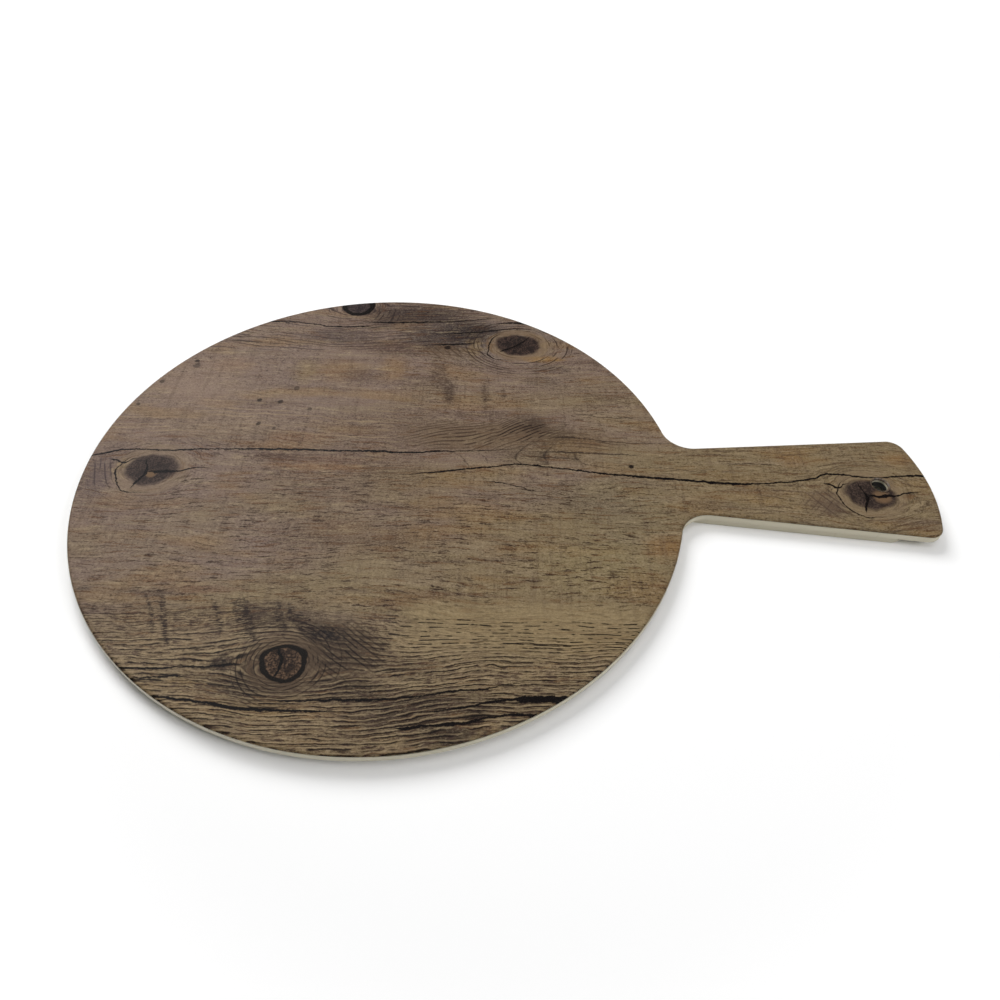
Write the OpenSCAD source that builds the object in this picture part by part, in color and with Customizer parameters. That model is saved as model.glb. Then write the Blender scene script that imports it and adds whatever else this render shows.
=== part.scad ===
// Round serving board with a flared paddle handle and a hang hole.
// A moulded melamine board carries a printed wood-effect sheet, which is sealed under a clear overlay.
// Origin: on the table, below the middle of the board's length and width. +X runs out along the handle.

/* [Plate] */
// Diameter of the round plate
plate_d = 300; // [240:1:360]
// Thickness of the plate and handle above the foot, with the print and the overlay
board_t = 5; // [4:0.1:8]
// Radius of the rounded top edge, down to where the print ends
top_edge_r = 1.5; // [1:0.1:2]

/* [Handle] */
// Distance from the middle of the plate to the handle's tip
handle_reach = 281; // [260:1:330]
// Width of the handle where it would meet the plate's rim
neck_w = 44.8; // [36:0.2:56]
// Width of the handle at its tip, before the corners are rounded
tip_w = 70.4; // [60:0.2:84]
// Radius of the hollow curve between plate and handle
neck_r = 15; // [8:0.5:25]
// Radius of the bowed end of the handle
crown_r = 92; // [80:1:150]
// Radius of the handle's two end corners
corner_r = 8.5; // [6:0.5:14]

/* [Hang hole] */
// Diameter of the hang hole
hole_d = 8; // [6:0.5:12]
// Distance from the handle's tip to the middle of the hang hole
hole_from_tip = 27; // [24:0.5:34]
// Radius of the rounded mouth of the hang hole
mouth_r = 1; // [0.7:0.1:1.4]

/* [Foot] */
// Height of the foot rim under the board
foot_h = 4; // [2:0.1:6]
// Width of the foot rim
foot_wall = 4; // [3:0.5:5]
// How far the foot rim stays in from the rim of the plate
foot_plate_inset = 10; // [6:0.5:20]
// How far the foot rim stays in from the sides of the handle
foot_side_inset = 0.8; // [0.5:0.1:2]
// How far the foot rim stays back from the handle's tip
foot_tip_inset = 17; // [14:0.5:18]
// Radius of the foot rim's two end corners
foot_corner_r = 7; // [6:0.5:10]

/* [Print and overlay] */
// Thickness of the printed wood-effect sheet
print_t = 0.3; // [0.2:0.05:0.4]
// Thickness of the clear overlay on the print
overlay_t = 0.25; // [0.15:0.05:0.4]

/* [Hidden] */
$fn = 128;

// Extra length of every cut past the face that it opens
overrun = 1;
// How far one curve runs into the next where they meet
seam = 0.01;
// Thin slices that make up the rounded top edge
edge_slices = 5;

plate_r = plate_d / 2;
hole_r = hole_d / 2;
skin_t = print_t + overlay_t;
top_z = foot_h + board_t;
print_edge_z = top_z - top_edge_r;
print_hole_r = hole_r + mouth_r;

// The plan is drawn with the plate's middle at zero, then moved so that the origin is mid-length
plate_x = (plate_r - handle_reach) / 2;
hole_x = handle_reach - hole_from_tip;
crown_x = handle_reach - crown_r;

// Direction of the handle's upper side, and the side's distance from the plate's middle
side_angle = atan2((tip_w - neck_w) / 2, handle_reach - plate_r);
side_dir = [cos(side_angle), sin(side_angle)];
side_normal = [-sin(side_angle), cos(side_angle)];
side_offset = [plate_r, neck_w / 2] * side_normal;

// An outline is [plate radius, side offset, neck radius, crown radius, corner radius]
board_outline = [plate_r, side_offset, neck_r, crown_r, corner_r];
foot_outline = [
    plate_r - foot_plate_inset, side_offset - foot_side_inset, neck_r,
    crown_r - foot_tip_inset, foot_corner_r
];

function inset(o, d) = [o[0] - d, o[1] - d, o[2] + d, o[3] - d, o[4] - d];

// Middle of the neck curve: it touches the plate's circle and the handle's side
function neck_centre(o) =
    let (off = o[1] + o[2], along = sqrt(pow(o[0] + o[2], 2) - pow(off, 2)))
    off * side_normal + along * side_dir;

// Middle of the corner curve: it touches the handle's side and the crown
function corner_centre(o) =
    let (
        off = o[1] - o[4] - crown_x * side_normal[0],
        along = sqrt(pow(o[3] - o[4], 2) - pow(off, 2))
    )
    [crown_x, 0] + off * side_normal + along * side_dir;

function direction(v) = atan2(v[1], v[0]);

function flipped(p) = [p[0], -p[1]];

module both_sides() {
    children();
    mirror([0, 1, 0]) children();
}

// The plan of plate, neck and handle
module plan(o) {
    neck = neck_centre(o);
    corner = corner_centre(o);
    corner_turn = direction(corner - [crown_x, 0]);
    // Ends of the straight side: inside the plate, and beside the corner's middle
    side_start = (o[0] - o[4]) * side_dir + o[1] * side_normal;
    side_end = corner * side_dir * side_dir + o[1] * side_normal;
    // Where the line from the neck's middle, square to the side, meets the handle's axis
    neck_axis = neck - neck[1] / side_normal[1] * side_normal;
    crown_reach = o[3] / cos(corner_turn);

    difference() {
        union() {
            circle(o[0]);
            polygon([side_start, side_end, flipped(side_end), flipped(side_start)]);
            polygon([[0, 0], neck, neck_axis, flipped(neck)]);
            // Bowed end
            intersection() {
                translate([crown_x, 0]) circle(o[3]);
                translate([crown_x, 0]) polygon([
                    [0, 0],
                    crown_reach * [cos(corner_turn), -sin(corner_turn)],
                    crown_reach * [cos(corner_turn), sin(corner_turn)]
                ]);
            }
            both_sides() translate(corner) circle(o[4] - seam);
        }
        // Neck curves
        both_sides() translate(neck) circle(o[2] + seam);
    }
}

module plan_solid(o, low, high) {
    translate([0, 0, low]) linear_extrude(high - low) plan(o);
}

// A solid whose upper edge is rounded at radius round_r, in thin slices, with no straight wall below
module rounded_solid(o, low, round_r) {
    for (slice = [0 : edge_slices - 1]) {
        level = round_r * slice / edge_slices;
        middle = round_r * (slice + 0.5) / edge_slices;
        plan_solid(inset(o, round_r - sqrt(pow(round_r, 2) - pow(middle, 2))), low, low + level + round_r / edge_slices);
    }
}

// A layer that covers the top and wraps the rounded edge, between two depths under the surface
module skin(outer, inner) {
    difference() {
        rounded_solid(inset(board_outline, outer), print_edge_z, top_edge_r - outer);
        translate([0, 0, -overrun]) plan_solid(inset(board_outline, inner), print_edge_z, print_edge_z + overrun);
        rounded_solid(inset(board_outline, inner), print_edge_z, top_edge_r - inner);
        translate([hole_x, 0, print_edge_z]) cylinder(r = print_hole_r, h = top_edge_r + overrun);
    }
}

module melamine_board() {
    color([0.85, 0.83, 0.74]) translate([plate_x, 0, 0]) difference() {
        union() {
            // Rim below the print
            plan_solid(board_outline, foot_h, print_edge_z);
            // Bed that the printed sheet is moulded on to
            rounded_solid(inset(board_outline, skin_t), print_edge_z, top_edge_r - skin_t);
            // Collar that fills the hole in the print
            translate([hole_x, 0, print_edge_z]) cylinder(r = print_hole_r, h = top_edge_r);
            // Foot rim
            difference() {
                plan_solid(foot_outline, 0, foot_h);
                plan_solid(inset(foot_outline, foot_wall), -overrun, foot_h);
            }
        }
        // Hang hole with its rounded mouth
        translate([hole_x, 0, -overrun]) cylinder(r = hole_r, h = top_z + 2 * overrun);
        translate([hole_x, 0, top_z - mouth_r]) rotate_extrude() difference() {
            square([print_hole_r, mouth_r + overrun]);
            translate([print_hole_r, 0]) circle(mouth_r);
        }
    }
}

module printed_sheet() {
    color([0.52, 0.45, 0.37]) translate([plate_x, 0, 0]) skin(overlay_t, skin_t);
}

module clear_overlay() {
    color([0.95, 0.95, 0.92, 0.3]) translate([plate_x, 0, 0]) skin(0, overlay_t);
}

melamine_board();
printed_sheet();
clear_overlay();
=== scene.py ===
"""Looks of a round melamine serving board with a printed wood-effect top and a paddle handle."""

import math
from typing import NamedTuple

import bmesh
import bpy
import numpy as np
from mathutils import Matrix, Vector


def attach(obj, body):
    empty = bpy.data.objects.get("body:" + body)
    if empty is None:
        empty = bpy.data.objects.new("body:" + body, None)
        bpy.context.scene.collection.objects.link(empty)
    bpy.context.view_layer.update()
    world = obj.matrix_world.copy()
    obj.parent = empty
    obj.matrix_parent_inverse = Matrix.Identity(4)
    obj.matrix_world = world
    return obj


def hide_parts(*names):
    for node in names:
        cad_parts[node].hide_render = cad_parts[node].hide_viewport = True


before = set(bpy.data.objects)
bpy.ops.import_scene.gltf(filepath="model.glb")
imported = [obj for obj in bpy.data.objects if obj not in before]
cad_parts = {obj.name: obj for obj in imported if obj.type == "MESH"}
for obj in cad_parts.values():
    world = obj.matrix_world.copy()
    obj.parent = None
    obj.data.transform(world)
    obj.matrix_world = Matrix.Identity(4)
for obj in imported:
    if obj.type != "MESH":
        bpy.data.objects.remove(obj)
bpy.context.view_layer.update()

MM = 0.001

# Sizes of the board, in mm

PLATE_R = 150.0
HANDLE_REACH = 281.0
NECK_W = 44.8
TIP_W = 70.4
NECK_R = 15.0
CROWN_R = 92.0
CORNER_R = 8.5
TOP_Z = 9.0
TOP_EDGE_R = 1.5
PRINT_EDGE_Z = TOP_Z - TOP_EDGE_R
PRINT_T = 0.3
OVERLAY_T = 0.25
SKIN_T = PRINT_T + OVERLAY_T
FOOT_H = 4.0
FOOT_WALL = 4.0
FOOT_PLATE_INSET = 10.0
FOOT_SIDE_INSET = 0.8
FOOT_TIP_INSET = 17.0
FOOT_CORNER_R = 7.0
HOLE_R = 4.0
MOUTH_R = 1.0
HOLE_FROM_TIP = 27.0

# Small roundings that only the looks have
FLANGE_EDGE_R = 0.5
FOOT_EDGE_R = 0.7
FOOT_FILLET_R = 0.3
# Air between the overlay and the print, so that their faces don't fall together
SKIN_GAP = 0.02
# Flat band beside a rounding, which keeps its shading off the flat face
FLAT_BAND = 1.2
# Edges that turn more than this are shaded sharp
SHARP_TURN = math.radians(35)

PLATE_X = (PLATE_R - HANDLE_REACH) / 2
HOLE_X = PLATE_X + HANDLE_REACH - HOLE_FROM_TIP
CROWN_X = HANDLE_REACH - CROWN_R

SIDE_ANGLE = math.atan2((TIP_W - NECK_W) / 2, HANDLE_REACH - PLATE_R)
SIDE_DIR = np.array([math.cos(SIDE_ANGLE), math.sin(SIDE_ANGLE)])
SIDE_NORMAL = np.array([-math.sin(SIDE_ANGLE), math.cos(SIDE_ANGLE)])
SIDE_OFFSET = float(np.dot([PLATE_R, NECK_W / 2], SIDE_NORMAL))

# Steps along each part of half the outline, from the tip round to the far side of the plate
CROWN_STEPS = 14
CORNER_STEPS = 16
SIDE_STEPS = 24
NECK_STEPS = 24
PLATE_STEPS = 220
# Steps round the hang hole, and along a rounding
HOLE_STEPS = 96
ROUND_STEPS = 8


# Outline and mesh helpers


def direction(ray):
    return math.atan2(ray[1], ray[0])


def arc(centre, radius, start, end, steps, outward=1):
    """Points and outward normals along an arc, without its last point."""
    angles = start + (end - start) * np.arange(steps) / steps
    rays = np.stack([np.cos(angles), np.sin(angles)], 1)
    return centre + radius * rays, outward * rays


def outline(plate_r, side_offset, neck_r, crown_r, corner_r):
    """Closed plan of plate, neck and handle: points and outward normals, in mm, in the row frame."""
    crown = np.array([CROWN_X, 0.0])
    off = side_offset - corner_r - CROWN_X * SIDE_NORMAL[0]
    corner = crown + off * SIDE_NORMAL + math.sqrt((crown_r - corner_r) ** 2 - off**2) * SIDE_DIR
    off = side_offset + neck_r
    neck = off * SIDE_NORMAL + math.sqrt((plate_r + neck_r) ** 2 - off**2) * SIDE_DIR
    side_turn = direction(SIDE_NORMAL)
    corner_turn = direction(corner - crown)
    side_start = corner + corner_r * SIDE_NORMAL
    side_end = neck - neck_r * SIDE_NORMAL
    along = (np.arange(SIDE_STEPS) / SIDE_STEPS)[:, None]
    side = side_start + along * (side_end - side_start), np.tile(SIDE_NORMAL, (SIDE_STEPS, 1))
    sections = [
        arc(crown, crown_r, 0.0, corner_turn, CROWN_STEPS),
        arc(corner, corner_r, corner_turn, side_turn, CORNER_STEPS),
        side,
        arc(neck, neck_r, side_turn - math.pi, direction(neck) - math.pi, NECK_STEPS, -1),
        arc(np.zeros(2), plate_r, direction(neck), math.pi, PLATE_STEPS),
    ]
    points, normals = (np.concatenate(rows) for rows in zip(*sections))
    back = np.array([[-plate_r, 0.0]]), np.array([[-1.0, 0.0]])
    flip = np.array([1.0, -1.0])
    points = np.concatenate([points, back[0], points[:0:-1] * flip])
    normals = np.concatenate([normals, back[1], normals[:0:-1] * flip])
    return points + [PLATE_X, 0.0], normals


BOARD = outline(PLATE_R, SIDE_OFFSET, NECK_R, CROWN_R, CORNER_R)
FOOT = outline(
    PLATE_R - FOOT_PLATE_INSET, SIDE_OFFSET - FOOT_SIDE_INSET, NECK_R,
    CROWN_R - FOOT_TIP_INSET, FOOT_CORNER_R,
)


def loop(plan, inset, z):
    """The plan drawn in by inset, at height z."""
    points, normals = plan
    flat = points - inset * normals
    return np.column_stack([flat, np.full(len(flat), z)])


def hole_loop(radius, z):
    """A circle round the hang hole at height z."""
    points, _ = arc(np.array([HOLE_X, 0.0]), radius, 0.0, 2 * math.pi, HOLE_STEPS)
    return np.column_stack([points, np.full(len(points), z)])


def rounding(inset, z, radius, turn_in, turn_z):
    """Steps of a quarter circle as (inset, z), from the wall at inset to the flat face at z.

    turn_in is 1 where the flat face lies inward of the wall, turn_z is 1 where it lies above."""
    corner_in, corner_z = inset + turn_in * radius, z - turn_z * radius
    turns = np.linspace(0.0, math.pi / 2, ROUND_STEPS + 1)
    return [
        (corner_in - turn_in * radius * math.cos(turn), corner_z + turn_z * radius * math.sin(turn))
        for turn in turns
    ]


def mesh_object(name, outer_loops, hole_loops, material):
    """A closed solid: outer loops and hole loops are each bridged, and flat caps join their ends."""
    bm = bmesh.new()
    outer, inner = (
        [[bm.verts.new(Vector(point) * MM) for point in points] for points in loops]
        for loops in (outer_loops, hole_loops)
    )
    for chain in (outer, inner):
        for ring, other in zip(chain, chain[1:]):
            for i in range(len(ring)):
                j = (i + 1) % len(ring)
                bm.faces.new((ring[i], ring[j], other[j], other[i]))
    for end in (0, -1):
        edges = [
            bm.edges.get((ring[i - 1], ring[i])) or bm.edges.new((ring[i - 1], ring[i]))
            for ring in (outer[end], inner[end])
            for i in range(len(ring))
        ]
        bmesh.ops.triangle_fill(bm, use_beauty=True, use_dissolve=False, edges=edges)
    bmesh.ops.recalc_face_normals(bm, faces=bm.faces)
    mesh = bpy.data.meshes.new(name)
    bm.to_mesh(mesh)
    bm.free()
    mesh.shade_smooth()
    mesh.set_sharp_from_angle(angle=SHARP_TURN)
    mesh.materials.append(material)
    piece = bpy.data.objects.new(name, mesh)
    bpy.context.collection.objects.link(piece)
    return piece


# Number fields in a shader tree


def srgb(red, green, blue):
    """A colour as written in a picture, 0 to 255, as a linear colour."""

    def linear(value):
        share = value / 255
        return share / 12.92 if share <= 0.04045 else ((share + 0.055) / 1.055) ** 2.4

    return (linear(red), linear(green), linear(blue), 1.0)


class Field:
    """A number, vector or colour that varies over the surface. Signs on number fields add Math nodes."""

    def __init__(self, socket):
        self.socket = socket

    def __add__(self, other):
        return calc("ADD", self, other)

    def __sub__(self, other):
        return calc("SUBTRACT", self, other)

    def __mul__(self, other):
        return calc("MULTIPLY", self, other)

    def __abs__(self):
        return calc("ABSOLUTE", self)


def put(socket, value):
    """Links a field to a socket, or writes a plain value on it."""
    if isinstance(value, Field):
        socket.id_data.links.new(value.socket, socket)
    else:
        socket.default_value = value


def tree_of(*values):
    return next(value.socket.id_data for value in values if isinstance(value, Field))


# A factor so small that what it scales adds nothing
NO_SHIFT = 1e-7

# Kind of a group's socket for each kind of field that passes through it
SOCKET_KINDS = {"VECTOR": "NodeSocketVector", "RGBA": "NodeSocketColor"}


def made(kind, values, output=0, **settings):
    """Output of a new shader node with these settings, with values on its first inputs."""
    node = tree_of(*values).nodes.new(f"ShaderNode{kind}")
    for name, setting in settings.items():
        setattr(node, name, setting)
    for socket, value in zip(node.inputs, values):
        put(socket, value)
    return Field(node.outputs[output])


def grouped(build, *fields):
    """Builds a part of the shader in a node group of its own, which keeps each tree small."""
    group = bpy.data.node_groups.new(build.__name__, "ShaderNodeTree")
    for number, field in enumerate(fields):
        kind = SOCKET_KINDS[field.socket.type]
        group.interface.new_socket(name=f"in_{number}", in_out="INPUT", socket_type=kind)
    start = group.nodes.new("NodeGroupInput")
    result = build(*[Field(start.outputs[number]) for number in range(len(fields))])
    kind = SOCKET_KINDS[result.socket.type]
    group.interface.new_socket(name="result", in_out="OUTPUT", socket_type=kind)
    group.links.new(result.socket, group.nodes.new("NodeGroupOutput").inputs[0])
    return made("Group", fields, node_tree=group)


def calc(operation, *values, clamp=False):
    return made("Math", values, operation=operation, use_clamp=clamp)


def scaled(value, factor, offset, clamp=False):
    """value times factor, plus offset."""
    return calc("MULTIPLY_ADD", value, factor, offset, clamp=clamp)


def fade(value, at_zero, at_one, top=1.0):
    """0 where value is at_zero, top where it is at_one, and smooth between."""
    return made("MapRange", (value, at_zero, at_one, 0.0, top), interpolation_type="SMOOTHSTEP")


def noise(spot, x_scale, y_scale, seed, detail=2.0, rough=0.5):
    """Cloud noise about 0.5 over a vector field, with one cycle in about 1 / scale mm."""
    shift, turn = (37.1 * seed, 23.3 * seed, 0.0), (0.0, 0.0, 0.0)
    place = made("Mapping", (spot, shift, turn, (x_scale, y_scale, 1.0)))
    return made("TexNoise", (place, 0.0, 1.0, detail, rough), noise_dimensions="2D")


def line_of(value, points):
    """Out and half width at value of a line drawn through (in, out, half width), held beyond its ends."""
    starts, outs, halves = zip(*points)
    first, last = starts[0], starts[-1]
    low, high, widest = min(outs), max(outs), max(halves)
    along = scaled(value, 1 / (last - first), -first / (last - first), clamp=True)
    curve = made("RGBCurve", (1.0, vector(along, along)))
    mapping = curve.socket.node.mapping
    channels = [[(out - low) / (high - low) for out in outs], [half / widest for half in halves]]
    for channel, shares in enumerate(channels):
        drawn = mapping.curves[channel].points
        while len(drawn) < len(points):
            drawn.new(0.5, 0.5)
        for point, start, share in zip(drawn, starts, shares):
            point.location = ((start - first) / (last - first), share)
            point.handle_type = "VECTOR" if channel else "AUTO"
    mapping.update()
    out, half, _ = parts(curve)
    return scaled(out, high - low, low), half * widest


def aim(spot, scale, offset):
    """A vector field scaled and moved."""
    return made("VectorMath", (spot, scale, offset), operation="MULTIPLY_ADD")


def length(spot):
    return made("VectorMath", (spot,), "Value", operation="LENGTH")


def vector(x, y, z=0.0):
    return made("CombineXYZ", (x, y, z))


def parts(spot):
    """The x, y and z of a vector field."""
    node = tree_of(spot).nodes.new("ShaderNodeSeparateXYZ")
    put(node.inputs[0], spot)
    return tuple(Field(output) for output in node.outputs)


def paint(under, over, share):
    """Colour under, with colour over laid on it by share."""
    node = tree_of(under, over, share).nodes.new("ShaderNodeMix")
    node.data_type = "RGBA"
    put(node.inputs[0], share)
    put(node.inputs[6], under)
    put(node.inputs[7], over)
    return Field(node.outputs[2])


def stroke(across, half_width, soft):
    """1 within half_width of a line, where across is the distance from it."""
    return calc("DIVIDE", half_width - abs(across), soft, clamp=True)


def new_material(name):
    """A material, its shader, and the place on the surface in mm as a vector field."""
    material = bpy.data.materials.new(name)
    material.use_nodes = True
    tree = material.node_tree
    place = tree.nodes.new("ShaderNodeTexCoord")
    spot = aim(Field(place.outputs["Object"]), (1 / MM, 1 / MM, 1 / MM), (0.0, 0.0, 0.0))
    return material, tree.nodes["Principled BSDF"], spot


def bump(height, depth_mm, strength=1.0):
    node = tree_of(height).nodes.new("ShaderNodeBump")
    node.inputs["Strength"].default_value = strength
    node.inputs["Distance"].default_value = depth_mm * MM
    put(node.inputs["Height"], height)
    return Field(node.outputs[0])


# The wood-effect print, in mm. A cloud noise is (scale along x, scale along y, seed, detail, roughness).

# Keeps x and y of a place, and drops z
FLAT = (1.0, 1.0, 0.0)

# Knots that bend the grain: middle x, middle y, radius that the grain parts round, stretch along the grain
GRAIN_KNOTS = [
    (-182, -5, 13, 0.75), (-97, -111, 9, 0.6), (2, 108, 14, 0.7), (-98, 142, 12, 0.7), (180, -7, 13, 0.75),
]

# Cracks along the grain: (x, y, half width)
CRACKS = [
    [(-216, 3, 0.35), (-207, 6, 0.6), (-200, 8.4, 0.5), (-190, 9, 0.4), (-175, 9, 0.45), (-165, 10.2, 0.45),
     (-150, 11.1, 0.35), (-130, 12, 0.55), (-110, 12.4, 0.6), (-90, 12.5, 0.4), (-72, 13.1, 0.6),
     (-58, 12.6, 0.45), (-44, 14, 0.45), (-30, 15, 0.35), (-15, 16, 0.25), (0, 17.6, 0.15), (12, 18, 0)],
    [(-66, -4.6, 0), (-50, -2.2, 0.3), (-40, -0.6, 0.45), (-30, 1.4, 0.5), (-10, 4.7, 0.4), (4, 6.6, 0.45),
     (16, 5.5, 0.45), (30, 3.8, 0.4), (50, 1.6, 0.5), (70, 0.1, 0.65), (90, -1.2, 0.65), (110, -2.4, 0.7),
     (122, -2.1, 0.45), (134, -0.8, 0.4), (146, 1, 0.5), (156, 3.4, 0.5), (166, 6.7, 0.6), (173, 6.3, 0.5),
     (180, 5.2, 0.5), (190, 5.4, 0.35), (200, 6.7, 0.5), (213, 7.4, 0.6)],
    [(-20, -6.6, 0), (-10, -6.5, 0.35), (0, -9, 0.3), (8, -11.4, 0.3), (14, -13, 0)],
    [(-152, 122.6, 0.5), (-140, 123.4, 0.55), (-130, 122.9, 0.4), (-118, 121.2, 0.45), (-110, 120.1, 0.5),
     (-95, 121, 0.5), (-80, 121.6, 0.2), (-70, 122, 0)],
    [(-98, 125.4, 0), (-84, 126.3, 0.5), (-68, 126.9, 0.6), (-50, 128.6, 0.5), (-30, 131, 0.45),
     (-14, 134.6, 0.3), (-4, 136, 0)],
    [(-18, 127.5, 0), (-8, 129.6, 0.4), (0, 130.8, 0.6), (5, 130.9, 0.8), (12, 130, 0.6)],
    [(-54, 115, 0), (-40, 117, 0.35), (-20, 120, 0.5), (-10, 122.6, 0.4), (4, 124.6, 0.35), (18, 123.6, 0)],
    [(-60, 104.4, 0), (-45, 105.4, 0.4), (-34, 106.8, 0.55), (-24, 108.6, 0.3), (-20, 110, 0)],
    [(-148, -127.2, 0.35), (-135, -128, 0.5), (-124, -129.2, 0.5), (-114, -131.2, 0.7), (-104, -132, 0.65),
     (-90, -132.2, 0.45), (-78, -132, 0.35), (-68, -130.8, 0)],
    [(-103, -128.6, 0), (-90, -127.9, 0.35), (-75, -127.3, 0.5), (-56, -126.6, 0.5), (-46, -125.6, 0.4),
     (-35, -124, 0.35), (-27, -122.3, 0.45), (-14, -121, 0.3), (-4, -118.8, 0.25), (8, -118, 0)],
    [(-44, -132.2, 0), (-32, -130.8, 0.35), (-20, -128.6, 0.45), (-8, -126, 0.45), (-1, -125.2, 0.6),
     (0.5, -125.2, 1.15), (10, -124.9, 1.15), (22, -124.3, 1.0)],
    [(-52, -139, 0), (-44, -138.2, 0.55), (-34, -137, 0.5), (-22, -135.8, 0.55), (-17, -134.4, 0.45),
     (-8, -132.5, 0.4), (-3, -131.7, 0.5), (8, -132.1, 0.5)],
    [(-166, -114.6, 0.4), (-150, -115.3, 0.4), (-140, -114.6, 0.35), (-128, -113.8, 0.35),
     (-118, -112.6, 0.6), (-110, -112, 0)],
    [(-160, -120.4, 0.3), (-150, -119.6, 0.35), (-138, -118.4, 0.35), (-126, -119, 0)],
]

# Fainter cracks along the grain, most of them in the figure above the middle: (x, y, half width)
FAINT_CRACKS = [
    [(-8, 13, 0), (10, 12.4, 0.4), (30, 12, 0.4), (36, 8.4, 0.35), (50, 5.6, 0.25), (64, 4, 0)],
    [(10, 17.4, 0), (24, 16.6, 0.6), (44, 16.4, 0.5), (62, 16.2, 0.4), (70, 17, 0)],
    [(14, 27.4, 0), (26, 28, 0.7), (36, 27.6, 0.4), (56, 25.4, 0.35), (80, 25.6, 0.3), (96, 26, 0)],
    [(62, 8, 0), (76, 7.2, 0.3), (92, 5.6, 0.3), (108, 3, 0)],
    [(104, 11.2, 0), (114, 11.6, 0.4), (130, 12.2, 0.35), (146, 11.6, 0)],
    [(116, -3.2, 0), (130, -3, 0.35), (146, -3.4, 0)],
    [(-172, 107.2, 0.4), (-150, 106.8, 0.45), (-136, 106, 0.3), (-120, 104, 0)],
    [(-176, 103, 0.3), (-156, 102.2, 0.5), (-140, 101.4, 0)],
    [(-130, -6, 0), (-110, -4.4, 0.25), (-90, -3.4, 0.25), (-70, -4.6, 0)],
    [(30, 45.4, 0), (38, 47, 0.4), (48, 45, 0.3), (62, 45.4, 0.5), (76, 46, 0)],
]


# How the grain wanders, from slow to fine: cloud noise, and span across the grain
WANDERS = [
    ((0.011, 0.02, 3.1, 1.0), 9.0),
    ((0.05, 0.12, 7.7, 2.0), 2.2),
    ((0.17, 0.3, 25.3, 3.0, 0.65), 1.2),
]
# At the lower right the grain climbs along x: slope of its height, where that starts, and its two fades
LOW_SLOPE = -0.07
LOW_SLOPE_X = -60.0
LOW_SLOPE_ALONG = (-70.0, -30.0)
LOW_SLOPE_DOWN = (-86.0, -108.0)
# Share of a knot's radius squared that keeps the grain from folding at its middle
KNOT_CALM = 0.25

# Small kinks of the cracks, and how their width varies
KINK = (0.2, 0.2, 21.0, 4.0, 0.72)
KINK_SPAN = 2.4
CRACK_WIDTH = (0.45, 0.45, 23.0, 2.0)


def wander(spot, cloud, span):
    """Cloud noise about zero, from low to high across span."""
    return scaled(noise(spot, *cloud), span, -span / 2)


def grain_spot(spot):
    """The plan as the grain sees it: its y parts round the knots and wanders a little."""
    x, y, _ = parts(spot)
    height = y
    for knot_x, knot_y, radius, stretch in GRAIN_KNOTS:
        u, v = scaled(x, stretch, -knot_x * stretch), y - knot_y
        reach = calc("MULTIPLY_ADD", u, u, calc("MULTIPLY_ADD", v, v, KNOT_CALM * radius**2))
        height = height - calc("DIVIDE", v * radius**2, reach)
    for cloud, span in WANDERS:
        height = height + wander(spot, cloud, span)
    slope = scaled(x, LOW_SLOPE, -LOW_SLOPE * LOW_SLOPE_X) * fade(x, *LOW_SLOPE_ALONG)
    return vector(x, height + slope * fade(y, *LOW_SLOPE_DOWN))


def crack_spot(spot):
    """The plan as the cracks see it: x and y with small kinks, and a share of their width that varies."""
    x, y, _ = parts(spot)
    kink = wander(spot, KINK, KINK_SPAN)
    return vector(x + kink, y + kink, noise(spot, *CRACK_WIDTH) + 1.0)


def cracks(kinked, tables, soft, crosswise=False, middle=(0.0, 0.0)):
    """Every crack of the tables in one field. A crosswise table starts with y instead of x."""
    x, y, rough = parts(aim(kinked, (1.0, 1.0, 1.0), (-middle[0], -middle[1], 0.0)))
    along, across = (y, x) if crosswise else (x, y)
    deepest = None
    for points in tables:
        line, half = line_of(along, points)
        depth = stroke(across - line, half * rough, soft)
        deepest = depth if deepest is None else calc("MAXIMUM", deepest, depth)
    return deepest


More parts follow.
